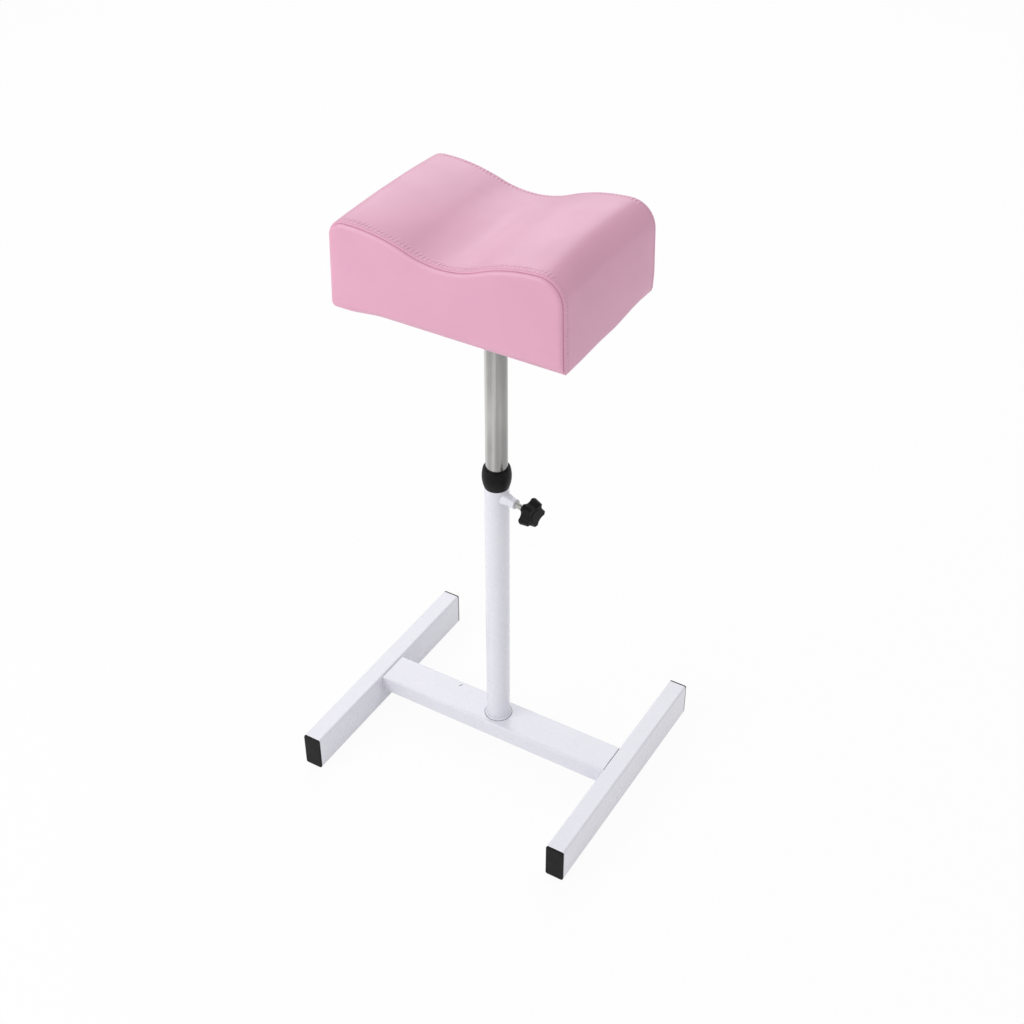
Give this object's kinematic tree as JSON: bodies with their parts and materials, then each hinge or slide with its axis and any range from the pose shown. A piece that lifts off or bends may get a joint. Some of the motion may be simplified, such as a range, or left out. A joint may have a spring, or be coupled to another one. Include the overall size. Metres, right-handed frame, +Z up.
{
  "type": "pedicure footrest",
  "caption": "Footrest with a saddle-topped padded cushion on a chromed tube that slides and turns in a post on an H-shaped floor base, held by a star-knob clamp screw.",
  "frame": {"origin": "on the floor under the post's axis, at the middle of the base", "axes": "+X along the crossbar, towards the end whose side the clamp knob is on; +Y along the floor rails; +Z up"},
  "size_m": [0.32, 0.28, 0.647],
  "materials": {
    "white_powder_coat": "smooth gloss powder coat",
    "black_plastic": "fine moulded texture",
    "chrome_tube": "polished plating",
    "plated_steel": "zinc plating",
    "brass_pad": "turned",
    "black_paint": "satin paint",
    "plywood": "raw board",
    "foam": "open cells",
    "dust_cloth": "non-woven felt",
    "pink_leather": "satin imitation leather"
  },
  "bodies": {
    "base": {"left_rail": "white_powder_coat", "right_rail": "white_powder_coat", "cross_bar": "white_powder_coat", "bar_welds": "white_powder_coat", "post_tube": "white_powder_coat", "post_welds": "white_powder_coat", "post_collar": "black_plastic", "clamp_boss": "white_powder_coat", "boss_weld": "white_powder_coat", "front_left_cap": "black_plastic", "front_right_cap": "black_plastic", "rear_left_cap": "black_plastic", "rear_right_cap": "black_plastic"},
    "tube_slider": {"foot_plug": "black_plastic"},
    "lift": {"lift_tube": "chrome_tube", "seat_plate": "black_paint", "plate_weld": "black_paint", "plate_screws": "plated_steel", "plate_washers": "plated_steel", "tee_nuts": "plated_steel", "cushion_board": "plywood", "cushion_foam": "foam", "cover_band": "pink_leather", "cover_front_panel": "pink_leather", "cover_back_panel": "pink_leather", "dust_cloth": "dust_cloth"},
    "clamp_tip": {"clamp_pad": "brass_pad"},
    "clamp_knob": {"clamp_screw": "plated_steel", "star_knob": "black_plastic", "knob_cap": "black_plastic"}
  },
  "joints": [
    {"name": "lift_height", "type": "slide", "parent": "base", "child": "tube_slider", "axis": [0, 0, 1], "range_m": [-0.167, 0.153]},
    {"name": "cushion_turn", "type": "hinge", "parent": "tube_slider", "child": "lift", "pos_m": [0, 0, 0.18], "axis": [0, 0, 1], "continuous": true},
    {"name": "clamp_travel", "type": "slide", "parent": "base", "child": "clamp_tip", "axis": [0.9744, -0.225, 0], "range_m": [0, 0.0025]},
    {"name": "clamp_turn", "type": "hinge", "parent": "clamp_tip", "child": "clamp_knob", "pos_m": [0.01267, -0.00292, 0.3365], "axis": [0.9744, -0.225, 0], "range_deg": [0, 905]}
  ],
  "couplings": [
    {"joint": "clamp_turn", "follows": "clamp_travel", "rad_per_m": 6283.2}
  ]
}
